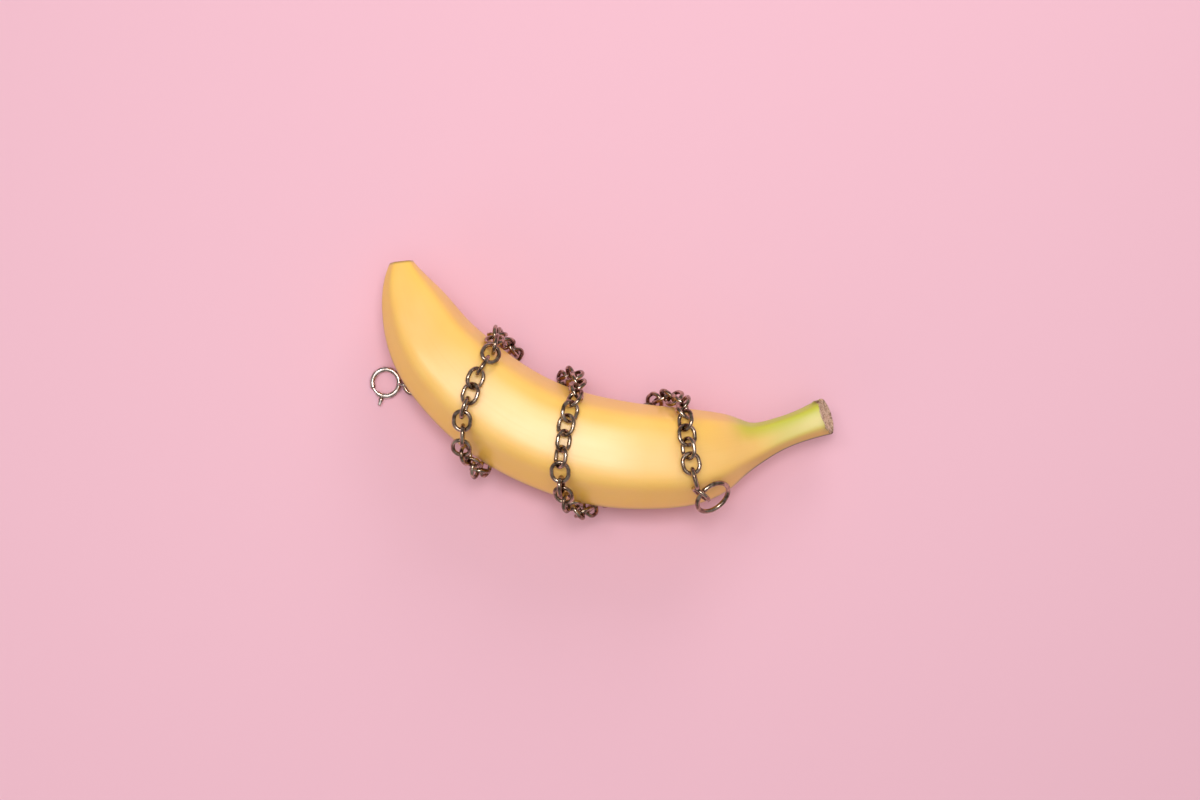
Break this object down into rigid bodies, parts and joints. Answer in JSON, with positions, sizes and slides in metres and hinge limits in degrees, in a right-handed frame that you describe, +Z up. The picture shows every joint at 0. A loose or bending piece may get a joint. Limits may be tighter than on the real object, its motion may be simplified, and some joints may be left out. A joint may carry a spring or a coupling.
{
  "type": "unpeeled banana wound with a chain",
  "caption": "Ripe, unpeeled banana lying on its side, with a fine metal chain with a spring-ring clasp wound round it.",
  "frame": {"origin": "middle of the underside of the whole object's bounding box, on the surface it lies on", "axes": "+X towards the banana's cut stem end, +Z up, +Y towards the hollow of its curve at the blossom end"},
  "size_m": [0.1706, 0.0938, 0.0517],
  "materials": {
    "peel": "satin",
    "nickel": "polished"
  },
  "bodies": {
    "root": {"banana": "peel", "chain_run_01": "nickel", "chain_run_02": "nickel", "chain_run_03": "nickel", "chain_run_04": "nickel", "chain_run_05": "nickel", "chain_run_06": "nickel", "chain_run_07": "nickel", "chain_run_08": "nickel", "chain_run_09": "nickel", "chain_run_10": "nickel", "chain_run_11": "nickel", "chain_run_12": "nickel", "chain_run_13": "nickel", "chain_run_14": "nickel", "chain_run_15": "nickel", "chain_run_16": "nickel", "clasp_ring": "nickel", "clasp_tongue": "nickel", "clasp_trigger": "nickel", "end_ring": "nickel"}
  },
  "joints": []
}
